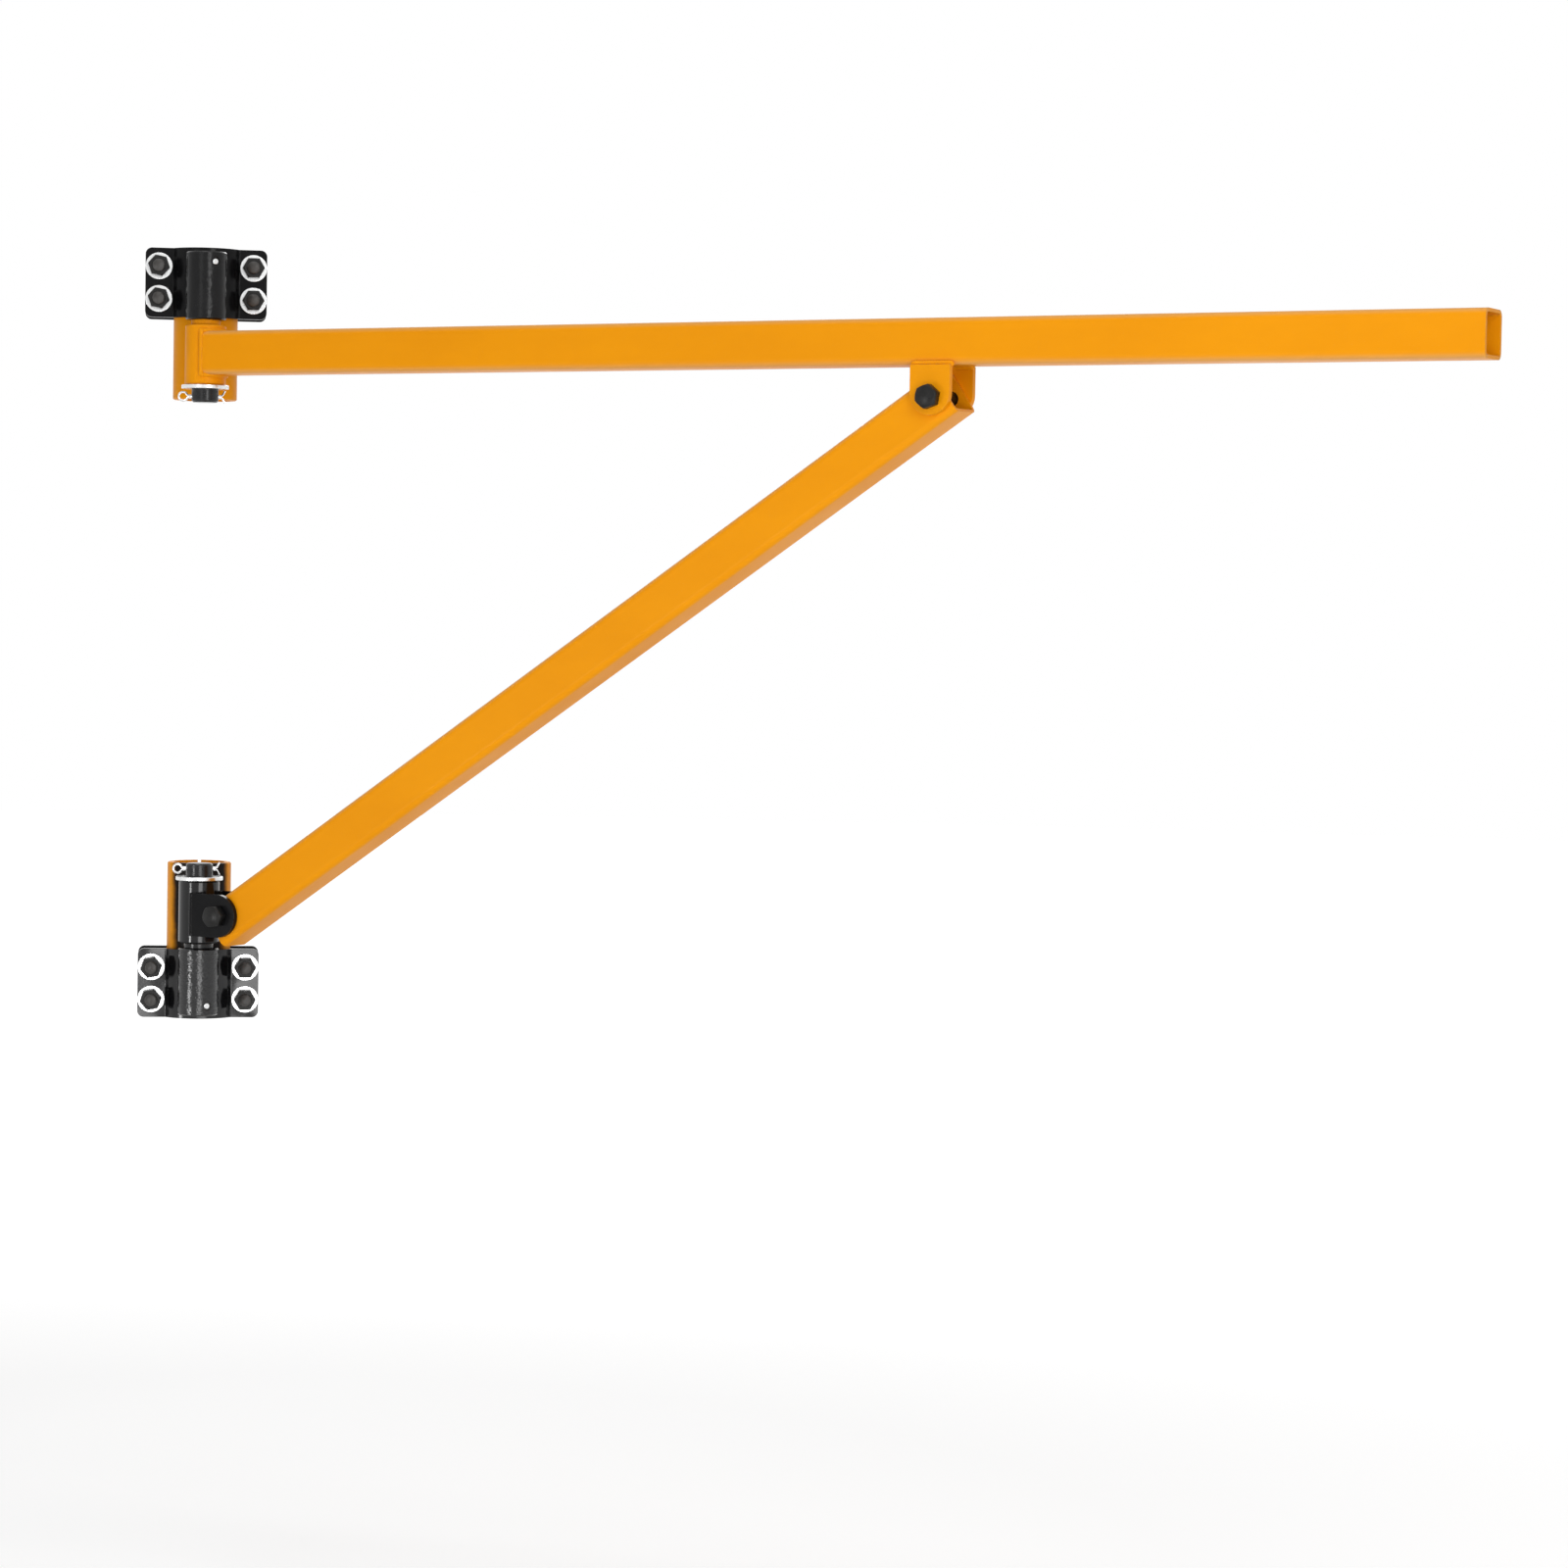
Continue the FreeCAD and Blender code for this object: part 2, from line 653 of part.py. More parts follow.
def swing_arm():
    """Every piece that turns on the pins, drawn about the pivot axis."""
    arm = arm_tube()
    arm_sleeve_ends = (arm_sleeve_top - arm_sleeve_length, arm_sleeve_top)
    brace_sleeve_ends = (-brace_sleeve_base, brace_sleeve_length - brace_sleeve_base)
    lugs = [fork_plate(side, lug_outline(), lug_bolt) for side in (-1, 1)]
    ears = [fork_plate(side, ear_outline(), ear_bolt) for side in (-1, 1)]
    return {
        "arm_tube": arm,
        "arm_hinge_sleeve": hinge_sleeve(*arm_sleeve_ends),
        "arm_hinge_bushes": hinge_bushes(*arm_sleeve_ends),
        "arm_root_weld": arm_root_weld(arm),
        "arm_lug_front": lugs[0],
        "arm_lug_rear": lugs[1],
        "arm_lug_welds": lug_welds(arm, lugs),
        "brace_tube": brace_tube(),
        "brace_hinge_sleeve": hinge_sleeve(*brace_sleeve_ends),
        "brace_hinge_bushes": hinge_bushes(*brace_sleeve_ends),
        "brace_ear_front": ears[0],
        "brace_ear_rear": ears[1],
        "brace_ear_welds": ear_welds(ears),
        "brace_bolts": brace_bolts(),
        "brace_nuts": brace_nuts(),
        "brace_washers": brace_washers(),
    }


def placed_parts():
    """All pieces in the part's own frame, by node name."""
    parts = {}
    for name, shape in clamp_end(arm_sleeve_length, arm_pole_reach).items():
        upper = moved(shape, vector(0, 0, arm_sleeve_top))
        parts["upper_" + name] = turned(upper, clamp_turn_deg)
    for name, shape in clamp_end(brace_sleeve_length, brace_pole_reach).items():
        lower = moved(shape.mirror(ORIGIN, Z_AXIS), vector(0, 0, -brace_sleeve_base))
        parts["lower_" + name] = turned(lower, clamp_turn_deg)
    pivot = turned(Part.Vertex(vector(0, -pivot_reach, 0)), clamp_turn_deg).Point
    for name, shape in swing_arm().items():
        parts[name] = moved(shape, pivot)
    return parts


def main():
    os.makedirs("parts", exist_ok=True)
    for name, shape in placed_parts().items():
        if not shape.isValid():
            raise ValueError(name + " is not a valid solid")
        shape.exportStep(os.path.join("parts", name + ".step"))
        print(f"{name}: {len(shape.Solids)} solids, {shape.Volume:.0f} mm3")


main()
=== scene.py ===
# %% [markdown]
# Swing-arm bracket for a small hoist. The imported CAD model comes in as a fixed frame, and this
# lesson gives it paint, plating, welds and threads, and a camera and lights. Everything is in
# metres, in the frame of the CAD model: +Z up, +X along the arm.

# %% Load the frame
import json
import math

import bmesh
import bpy
from mathutils import Matrix, Vector


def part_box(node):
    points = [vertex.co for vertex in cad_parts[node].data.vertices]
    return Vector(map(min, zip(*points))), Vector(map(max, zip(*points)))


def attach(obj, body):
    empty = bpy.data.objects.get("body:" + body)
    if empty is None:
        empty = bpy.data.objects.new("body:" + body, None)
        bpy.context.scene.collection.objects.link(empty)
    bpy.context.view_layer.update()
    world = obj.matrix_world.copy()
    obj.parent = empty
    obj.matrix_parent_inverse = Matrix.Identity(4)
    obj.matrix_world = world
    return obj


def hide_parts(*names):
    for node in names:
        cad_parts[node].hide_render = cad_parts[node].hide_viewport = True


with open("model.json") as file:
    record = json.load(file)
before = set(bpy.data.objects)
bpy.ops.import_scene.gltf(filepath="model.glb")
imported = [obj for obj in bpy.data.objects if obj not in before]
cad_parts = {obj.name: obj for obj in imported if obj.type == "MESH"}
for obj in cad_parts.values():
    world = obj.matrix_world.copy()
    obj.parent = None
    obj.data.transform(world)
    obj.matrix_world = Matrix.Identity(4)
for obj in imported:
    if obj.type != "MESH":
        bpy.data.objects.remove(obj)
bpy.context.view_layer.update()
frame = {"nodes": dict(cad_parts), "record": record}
nodes = frame["nodes"]

# %% [markdown]
# The camera stands where the photographer stood. Its place and its turn were worked out from
# the edges of the real bracket, so that the model's edges fall on the same pixels. A matrix
# holds the three directions of the camera: right, up and backwards. Each row of the matrix has
# one coordinate of all three, and then of the place.

# %% Camera
CAMERA_PLACE = (2.34959, -3.24965, -0.22645)
CAMERA_RIGHT = (0.88319, 0.46868, 0.01778)
CAMERA_UP = (-0.03557, 0.02913, 0.99893)
CAMERA_BACK = (0.46766, -0.88289, 0.04240)
SENSOR_WIDTH = 36.0
LENS = 95.944
camera_data = bpy.data.cameras.new("camera")
camera_data.sensor_width = SENSOR_WIDTH
camera_data.lens = LENS
camera = bpy.data.objects.new("camera", camera_data)
rows = zip(CAMERA_RIGHT, CAMERA_UP, CAMERA_BACK, CAMERA_PLACE)
camera.matrix_world = Matrix((*rows, (0, 0, 0, 1)))
bpy.context.scene.collection.objects.link(camera)
bpy.context.scene.camera = camera
print("camera lens", camera_data.lens, "place", CAMERA_PLACE)

# %% [markdown]
# The light is a soft studio. Large lamps stand far from the bracket, because a large lamp gives
# a broad highlight and a soft shadow. A narrow lamp low in front draws the sharp upright streak
# on the lower hinge. A wide one low at the right lights its clamp, and one just above the floor
# lights the undersides.

# %% Lamps
def lamp(name, place, aim, width, height, watts):
    """A rectangular lamp at a place, which faces a point."""
    data = bpy.data.lights.new(name, "AREA")
    data.shape = "RECTANGLE"
    data.size = width
    data.size_y = height
    data.energy = watts
    made = bpy.data.objects.new(name, data)
    toward = Vector(aim) - Vector(place)
    made.rotation_mode = "QUATERNION"
    made.rotation_quaternion = toward.to_track_quat("-Z", "Y")
    made.location = place
    bpy.context.scene.collection.objects.link(made)


MIDDLE = (0.55, -0.05, -0.25)
HINGE_PLACE = (0.03, -0.05, -0.55)
lamp("front_lamp", (0.4, -3.4, 0.5), MIDDLE, 1.0, 2.0, 6)
lamp("right_lamp", (2.7, -1.9, 0.7), MIDDLE, 0.7, 1.8, 26)
lamp("low_lamp", (2.3, -2.4, -0.8), MIDDLE, 1.2, 0.5, 13)
lamp("streak_lamp", (-0.7, -2.96, -0.9), HINGE_PLACE, 0.45, 0.42, 15)
lamp("under_lamp", (1.1, -0.5, -1.12), MIDDLE, 1.0, 0.6, 2)
lamp("top_lamp", (0.6, -0.4, 2.6), MIDDLE, 2.4, 1.2, 22)
lamp("back_lamp", (-1.2, 2.8, 1.2), MIDDLE, 1.6, 1.6, 24)
print("lamps", len(bpy.data.lights))

# %% [markdown]
# The world and the materials below are graphs of nodes, made by the same few steps: a node is
# added, set up, and linked to the outputs of earlier nodes. One helper does all three, and two
# short ones use it for the nodes that come up most, arithmetic and a change of range.

# %% Helpers for shader graphs
def add(tree, kind, inputs=None, **settings):
    """A node with its settings, and with values or links on its sockets."""
    made = tree.nodes.new(kind)
    for name, value in settings.items():
        setattr(made, name, value)
    for name, value in (inputs or {}).items():
        if isinstance(value, bpy.types.NodeSocket):
            tree.links.new(value, made.inputs[name])
        else:
            made.inputs[name].default_value = value
    return made


def calculate(tree, operation, *values):
    """The result of one step of arithmetic."""
    return add(tree, "ShaderNodeMath", dict(enumerate(values)), operation=operation).outputs[0]


def remap(tree, value, low, high, to_low=0.0, to_high=1.0):
    """A value carried from one range to another, and kept inside it."""
    return add(tree, "ShaderNodeMapRange", {
        "Value": value, "From Min": low, "From Max": high, "To Min": to_low, "To Max": to_high,
    }).outputs["Result"]


print("helpers", add.__name__, calculate.__name__, remap.__name__)

# %% [markdown]
# The world fills the shadows. Rays from the camera, and rays that a shiny surface sends, see
# white there, as in a photograph cut out on white. The rays that carry light see a dimmer grey.

# %% World
WORLD_LIGHT = 0.42
WHITE = (1, 1, 1, 1)


def seen_share(tree):
    """1 for rays that see the background itself, 0 for rays that carry light."""
    path = add(tree, "ShaderNodeLightPath").outputs
    either = calculate(tree, "MAXIMUM", path["Is Camera Ray"], path["Is Glossy Ray"])
    return calculate(tree, "MAXIMUM", either, path["Is Transmission Ray"])


world = bpy.data.worlds.new("studio")
bpy.context.scene.world = world
world.use_nodes = True
tree = world.node_tree
tree.nodes.clear()
strength = remap(tree, seen_share(tree), 0.0, 1.0, WORLD_LIGHT, 1.0)
background = add(tree, "ShaderNodeBackground", {"Color": WHITE, "Strength": strength})
add(tree, "ShaderNodeOutputWorld", {"Surface": background.outputs["Background"]})
bpy.context.scene.view_settings.view_transform = "Standard"
print("world strength for light", WORLD_LIGHT)

# %% [markdown]
# A pale floor lies well under the bracket, which hangs on its pole in use. It is a wide disc.
# A little light of its own, seen by the camera and by shiny surfaces only, lifts it to white.
# The lift is small in the middle, where the shadow falls, and grows towards the far rim.

# %% Floor
FLOOR_LEVEL = -1.15
FLOOR_RADIUS = 14.0
FLOOR_COLOUR = (0.86, 0.86, 0.86, 1)
LIFT_NEAR = 0.3
LIFT_FAR = 0.75
LIFT_START = 1.5
LIFT_END = 4.0


def new_material(name):
    """A material with an empty graph."""
    material = bpy.data.materials.new(name)
    material.use_nodes = True
    material.node_tree.nodes.clear()
    return material


shape = bmesh.new()
bmesh.ops.create_circle(shape, cap_ends=True, segments=64, radius=FLOOR_RADIUS,
                        matrix=Matrix.Translation((0, 0, FLOOR_LEVEL)))
floor_mesh = bpy.data.meshes.new("floor")
shape.to_mesh(floor_mesh)
shape.free()
floor = bpy.data.objects.new("floor", floor_mesh)
bpy.context.scene.collection.objects.link(floor)
floor_paint = new_material("floor_paper")
tree = floor_paint.node_tree
matt = add(tree, "ShaderNodeBsdfDiffuse", {"Color": FLOOR_COLOUR})
place = add(tree, "ShaderNodeTexCoord").outputs["Object"]
distance = add(tree, "ShaderNodeVectorMath", {0: place}, operation="LENGTH").outputs["Value"]
rise = remap(tree, distance, LIFT_START, LIFT_END, LIFT_NEAR, LIFT_FAR)
lift = calculate(tree, "MULTIPLY", seen_share(tree), rise)
glow = add(tree, "ShaderNodeEmission", {"Color": WHITE, "Strength": lift})
both = add(tree, "ShaderNodeAddShader", {0: matt.outputs[0], 1: glow.outputs[0]})
add(tree, "ShaderNodeOutputMaterial", {"Surface": both.outputs[0]})
floor_mesh.materials.append(floor_paint)
print("floor level", FLOOR_LEVEL)

# %% [markdown]
# Paint is thin on sharp edges, because it draws back from them while it is wet, and they are
# rubbed first in use. A Bevel node softens the normal near an edge. Where that soft normal and
# the true one differ, there is an edge, so their dot product makes a mask for the wear. Fine
# noise breaks the mask up into chips.

# %% Mask of the sharp edges
EDGE_RADIUS = 0.0007
EDGE_RANGE = (0.99, 0.86)
CHIP_SCALE = 420.0
CHIP_RANGE = (0.38, 0.62)


def soft_normal(tree):
    """The normal with each sharp edge rounded a little."""
    return add(tree, "ShaderNodeBevel", {"Radius": EDGE_RADIUS}, samples=4).outputs["Normal"]


def noise(tree, where, scale, detail, roughness=0.5):
    """Cloudy noise round 0.5."""
    return add(tree, "ShaderNodeTexNoise", {
        "Vector": where, "Scale": scale, "Detail": detail, "Roughness": roughness,
    }).outputs["Fac"]


def edge_mask(tree, softened, place):
    """1 on worn edges and 0 on open faces, broken up by noise."""
    true = add(tree, "ShaderNodeNewGeometry").outputs["Normal"]
    same = add(tree, "ShaderNodeVectorMath", {0: softened, 1: true}, operation="DOT_PRODUCT")
    near = remap(tree, same.outputs["Value"], *EDGE_RANGE)
    chips = noise(tree, place, CHIP_SCALE, detail=3.0, roughness=0.7)
    return calculate(tree, "MULTIPLY", near, remap(tree, chips, *CHIP_RANGE))


print("edge radius", EDGE_RADIUS)

# %% [markdown]
# The square tubes have round corners, which the Bevel node doesn't find, and they get a painted
# sheen there: paler paint that stands for the reflection of bright surroundings. A Mapping node
# turns the place of a point into the tube's own directions, and the point is on a corner where it
# lies far from the tube's axis both across and up. Painted shade darkens the side of the lower
# pole sleeve that faces the hinge, where the hinge shades it. A dot product with the direction of
# the hinge tells how far a point of the sleeve lies on that side.

# %% Masks of the painted sheen on the tubes' corners and of the painted shade by the hinge
CORNER_ACROSS = (0.0105, 0.0165)
CORNER_HEIGHT = (0.0148, 0.0204)
CLAMP_TURN = math.radians(36)
CLAMP_FRONT = Vector((math.sin(CLAMP_TURN), -math.cos(CLAMP_TURN), 0))
# Where the painted shade by the hinge begins and ends, and how patchy its rim is.
HINGE_SHADE_RANGE = (0.0235, 0.0315)
HINGE_SHADE_PATCHES = 0.02


def ramp(tree, value, start, end):
    """A smooth rise from 0 to 1 of the size of a value."""
    size = calculate(tree, "ABSOLUTE", value)
    return add(tree, "ShaderNodeMapRange", {"Value": size, "From Min": start, "From Max": end},
               interpolation_type="SMOOTHSTEP").outputs["Result"]


def corner_sheen_mask(tree, place, spot, slope, upper_only):
    """1 on the painted sheen: the corners of a square tube whose axis passes a spot at a slope, in
    radians.
    """
    turn = Matrix.Rotation(slope, 3, "Y")
    centred = add(tree, "ShaderNodeMapping", {
        "Vector": place, "Rotation": (0.0, slope, 0.0), "Location": -(turn @ Vector(spot))})
    parts = add(tree, "ShaderNodeSeparateXYZ", {"Vector": centred.outputs["Vector"]}).outputs
    height = calculate(tree, "MAXIMUM", parts["Z"], 0.0) if upper_only else parts["Z"]
    return calculate(tree, "MULTIPLY", ramp(tree, parts["Y"], *CORNER_ACROSS),
                     ramp(tree, height, *CORNER_HEIGHT))


def hinge_shade_mask(tree, place, patchy):
    """1 where painted shade goes: the side of a pole sleeve that faces the hinge, fading out round
    it in patches.
    """
    toward = add(tree, "ShaderNodeVectorMath", {0: place, 1: CLAMP_FRONT},
                 operation="DOT_PRODUCT").outputs["Value"]
    reach = calculate(tree, "MULTIPLY_ADD", patchy, HINGE_SHADE_PATCHES, toward)
    return ramp(tree, reach, *HINGE_SHADE_RANGE)


print("corners from", CORNER_ACROSS, CORNER_HEIGHT, "grease from", HINGE_SHADE_RANGE)

# %% [markdown]
# Each finish is one graph with its own numbers. Noise as wide as a hand tints the colour, as the
# thickness of a sprayed coat does. Noise of a millimetre makes the skin of the paint or the grain
# of the plating. Specks of dust and the worn edges change the colour, and the tint and the wear
# change the roughness too, so that no surface is one flat colour. The Mapping node draws the
# pattern out along the piece where the metal was drawn or brushed that way. Pressed plate may
# be wavy, which is one more bump, of a larger size.

# %% One finish
TINT_RANGE = (0.3, 0.7)
DUST_SCALE = 950.0
DUST_RANGE = (0.7, 0.78)
# How far a tube's corners are mixed towards the worn colour, as a painted sheen.
CORNER_SHEEN = 0.55
WORN_ROUGHER = 0.25
WAVE_SIZE = 0.03
# The near-black colour of the painted shade beside the hinge.
HINGE_SHADE = (0.006, 0.0035, 0.0025, 1)


def blend(tree, share, first, second):
    """The first colour, or as much of the second one as its share says."""
    return add(tree, "ShaderNodeMix", {"Factor": share, 6: first, 7: second},
               data_type="RGBA").outputs[2]


def bumped(tree, height, normal, depth):
    """A normal tilted by the slopes of a height."""
    return add(tree, "ShaderNodeBump", {
        "Height": height, "Normal": normal, "Strength": 1.0, "Distance": depth,
    }).outputs["Normal"]


def finish(name, colours, roughness, specular, tint_size, skin, metallic=0.0, wear=0.5,
           specks=0.15, stretch=(1.0, 1.0, 1.0), tube=None, wave=0.0, hinge_shaded=False):
    """A finish whose colour, gloss and skin drift, with specks and worn edges.

    The colours are the main one, the one that it drifts to and the worn one, which is also the
    colour of a painted sheen. The roughness is a middle and a spread, and the skin is a size and a
    depth. A tube gets a painted sheen on its corners, and a sleeve by the hinge gets painted
    shade.
    """
    main, second, worn_and_sheen = ((*colour, 1) for colour in colours)
    middle, spread = roughness
    skin_size, skin_depth = skin
    material = new_material(name)
    tree = material.node_tree
    place = add(tree, "ShaderNodeTexCoord").outputs["Object"]
    mapping = add(tree, "ShaderNodeMapping", {"Vector": place, "Scale": stretch})
    where = mapping.outputs["Vector"]
    drift = noise(tree, where, 1 / tint_size, detail=5.0, roughness=0.6)
    tint = blend(tree, remap(tree, drift, *TINT_RANGE), main, second)
    dust = noise(tree, place, DUST_SCALE, detail=1.0)
    dusty = blend(tree, remap(tree, dust, *DUST_RANGE, 0.0, specks), tint, worn_and_sheen)
    normal = soft_normal(tree)
    mask = calculate(tree, "MULTIPLY", edge_mask(tree, normal, place), wear)
    # Painted sheen: the tube's corners are mixed towards the worn colour.
    if tube:
        sheen = calculate(tree, "MULTIPLY", corner_sheen_mask(tree, place, *tube), CORNER_SHEEN)
        mask = calculate(tree, "MAXIMUM", mask, sheen)
    base = blend(tree, mask, dusty, worn_and_sheen)
    # Painted shade: the side that faces the hinge turns near-black.
    if hinge_shaded:
        base = blend(tree, hinge_shade_mask(tree, place, drift), base, HINGE_SHADE)
    gloss = remap(tree, drift, *TINT_RANGE, middle - spread, middle + spread)
    rough = add(tree, "ShaderNodeMath", {0: mask, 1: WORN_ROUGHER, 2: gloss},
                operation="MULTIPLY_ADD", use_clamp=True)
    if wave:
        normal = bumped(tree, noise(tree, place, 1 / WAVE_SIZE, detail=0.0), normal, wave)
    normal = bumped(tree, noise(tree, where, 1 / skin_size, detail=3.0), normal, skin_depth)
    shader = add(tree, "ShaderNodeBsdfPrincipled", {
        "Base Color": base, "Metallic": metallic, "Roughness": rough.outputs[0],
        "Specular IOR Level": specular, "Normal": normal})
    add(tree, "ShaderNodeOutputMaterial", {"Surface": shader.outputs["BSDF"]})
    return material


print("waves of", WAVE_SIZE)

# %% [markdown]
# There are six finishes, one for each slot of the frame: two paints, two dark coats on steel,
# bright plating and bronze. The noise of the orange is drawn out along X, as most of the orange
# tube is. Each set of colours holds the main one, the one that it drifts to and the worn one.

# %% Colours and finishes
# For the orange, the worn colour is also the painted sheen on the tubes' corners.
ORANGES = ((0.845, 0.318, 0.0025), (0.79, 0.285, 0.002), (0.64, 0.40, 0.17))
BLACKS = ((0.0035, 0.0035, 0.004), (0.0065, 0.0065, 0.007), (0.055, 0.05, 0.045))
STEEL_WORN = (0.12, 0.115, 0.11)
DARK_STEELS = ((0.006, 0.006, 0.007), (0.012, 0.012, 0.012), STEEL_WORN)
OXIDES = ((0.007, 0.0068, 0.0065), (0.014, 0.0135, 0.013), STEEL_WORN)
ZINCS = ((0.80, 0.80, 0.79), (0.66, 0.67, 0.68), (0.92, 0.92, 0.91))
BRONZES = ((0.6, 0.42, 0.18), (0.5, 0.34, 0.14), (0.75, 0.58, 0.3))


def orange(name, tube=None, hinge_shaded=False):
    """Orange paint, for a tube with a painted sheen on its corners, or with painted shade by the
    hinge.
    """
    return finish(name, ORANGES, roughness=(0.36, 0.06), specular=0.07, tint_size=0.09,
                  skin=(0.0014, 0.00002), specks=0.12, stretch=(0.4, 1.0, 1.0),
                  tube=tube, hinge_shaded=hinge_shaded)


def black(name, roughness, specular, skin, wave=0.0):
    """Black gloss paint, from a smooth coat to one with thick runs, on flat or on wavy plate."""
    return finish(name, BLACKS, roughness=(roughness, 0.05), specular=specular,
                  tint_size=0.02, skin=skin, wear=0.55, specks=0.1, wave=wave)


FINISHES = {
    "orange_paint": orange("orange_paint"),
    "black_paint": black("black_paint", 0.2, 0.11, skin=(0.003, 0.00005)),
    "dark_steel": finish("dark_steel", DARK_STEELS, roughness=(0.2, 0.05), specular=0.3,
                         tint_size=0.01, skin=(0.001, 0.00002), wear=0.6, specks=0.1,
                         stretch=(1.0, 1.0, 4.0)),
    "black_oxide": finish("black_oxide", OXIDES, roughness=(0.34, 0.07), specular=0.2,
                          tint_size=0.006, skin=(0.0007, 0.00003), specks=0.2),
    "zinc": finish("zinc", ZINCS, roughness=(0.24, 0.06), specular=0.5, tint_size=0.004,
                   skin=(0.0005, 0.000004), metallic=1.0, wear=0.6, specks=0.3),
    "bush": finish("bush", BRONZES, roughness=(0.35, 0.06), specular=0.5, tint_size=0.006,
                   skin=(0.0008, 0.00001), metallic=1.0),
}
print("finishes", sorted(FINISHES))

# %% [markdown]
# Some nodes share a slot but not the same coat. The two square tubes have a painted sheen along
# their corners, each about its own axis. The lower pole sleeve has painted shade on the side that
# faces the hinge. The lower hinge is glossier than the upper one, and its clamp's pressed plate is
# a little wavy. The tubes welded to the clamps have thick, uneven paint that breaks their
# highlights up. The clamps' bolt ends are bare and paler than their nuts. The upper ring was
# sprayed with the arm.

# %% Coats of single nodes
PIVOT = (0.032387, -0.044577, 0.0)
BRACE_START = (0.0737, -0.044577, -0.5285)
BRACE_SLOPE = math.radians(33.49)
BARE_STEELS = ((0.042, 0.039, 0.037), (0.06, 0.056, 0.052), STEEL_WORN)
clamp_black = black("clamp_black", 0.14, 0.38, skin=(0.003, 0.00003), wave=0.0022)
bolt_steel = finish("bolt_steel", BARE_STEELS, roughness=(0.42, 0.06), specular=0.35,
                    tint_size=0.004, skin=(0.0006, 0.00003), specks=0.3)
COATS = {
    # The two square tubes get a painted sheen on their corners.
    "arm_tube": orange("arm_paint", (PIVOT, 0.0, False)),
    "brace_tube": orange("brace_paint", (BRACE_START, BRACE_SLOPE, True)),
    # This sleeve gets painted shade on the side that faces the hinge.
    "lower_pole_sleeve": orange("hinge_shaded_orange", hinge_shaded=True),
    "upper_thrust_ring": FINISHES["orange_paint"],
    "lower_clamp_front": clamp_black,
    "lower_clamp_back": clamp_black,
    "upper_hinge_tube": black("dull_runny_black", 0.2, 0.2, skin=(0.0032, 0.0003)),
    "brace_hinge_sleeve": black("gloss_black", 0.13, 0.32, skin=(0.006, 0.00004)),
    "lower_hinge_tube": black("runny_black", 0.15, 0.48, skin=(0.0032, 0.0004)),
    "lower_tube_welds": black("weld_black", 0.18, 0.3, skin=(0.002, 0.0001)),
    "upper_clamp_bolts": bolt_steel,
    "lower_clamp_bolts": bolt_steel,
}
for entry in frame["record"]["subparts"]:
    coat = COATS.get(entry["node"], FINISHES[entry["material_slot"]])
    for material_slot in nodes[entry["node"]].material_slots:
        material_slot.material = coat
print("single coats", sorted(COATS))

# %% [markdown]
# Some nodes get the surface that plain CAD solids lack, such as the ripples of a weld. Their mesh
# is loose triangles, so a copy is merged at its doubles first. The copy is then cut by parallel
# planes into fine bands, because only vertices that exist can be moved.

# %% Copy and cut a node
MERGE_DISTANCE = 0.000002


def merged_copy(node):
    """A bmesh of a node with its doubles merged."""
    shape = bmesh.new()
    shape.from_mesh(nodes[node].data)
    bmesh.ops.remove_doubles(shape, verts=shape.verts, dist=MERGE_DISTANCE)
    return shape


def cut_bands(shape, start, direction, step, count):
    """Cuts the shape by parallel planes, one step apart."""
    for index in range(count):
        everything = shape.verts[:] + shape.edges[:] + shape.faces[:]
        bmesh.ops.bisect_plane(shape, geom=everything, dist=MERGE_DISTANCE,
                               plane_co=start + direction * (step * index), plane_no=direction)


def stand_in(node, shape, body, slot):
    """Makes the reworked shape a piece that stands for its node."""
    bmesh.ops.recalc_face_normals(shape, faces=shape.faces)
    for face in shape.faces:
        face.smooth = True
    mesh = bpy.data.meshes.new(node + "_made")
    shape.to_mesh(mesh)
    shape.free()
    mesh.materials.append(COATS.get(node, FINISHES[slot]))
    piece = bpy.data.objects.new(node + "_made", mesh)
    bpy.context.scene.collection.objects.link(piece)
    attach(piece, body)
    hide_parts(node)
    print(node, "triangles", sum(len(face.vertices) - 2 for face in mesh.polygons))


print("copies merge at", MERGE_DISTANCE)

# %% [markdown]
# A weld laid by hand is a row of small overlapping pools. Seen close it is a bead with a ripple
# every few millimetres. Here the bead is cut into bands finer than the ripple, and each vertex
# moves along its normal by a row of humps, with a slower swell so that no two humps are alike.

# %% Rippled weld beads
UP = Vector((0, 0, 1))
RIPPLE_PITCH = 0.0026
RIPPLE_DEPTH = 0.00028
RIPPLE_LEAN = 0.35
RIPPLE_MEAN = 0.6
SWELLS = ((0.175, 0.9, 1.3), (0.125, 2.3, 0.0))
BAND_STEP = RIPPLE_PITCH / 6


def ripple(travel, across, depth=RIPPLE_DEPTH):
    """How far the weld's surface stands out, at a distance along the bead."""
    hump = abs(math.sin(math.pi * (travel + RIPPLE_LEAN * abs(across)) / RIPPLE_PITCH))
    swell = sum(share * math.sin(travel / RIPPLE_PITCH * rate + start)
                for share, rate, start in SWELLS)
    return depth * (hump - RIPPLE_MEAN + swell)


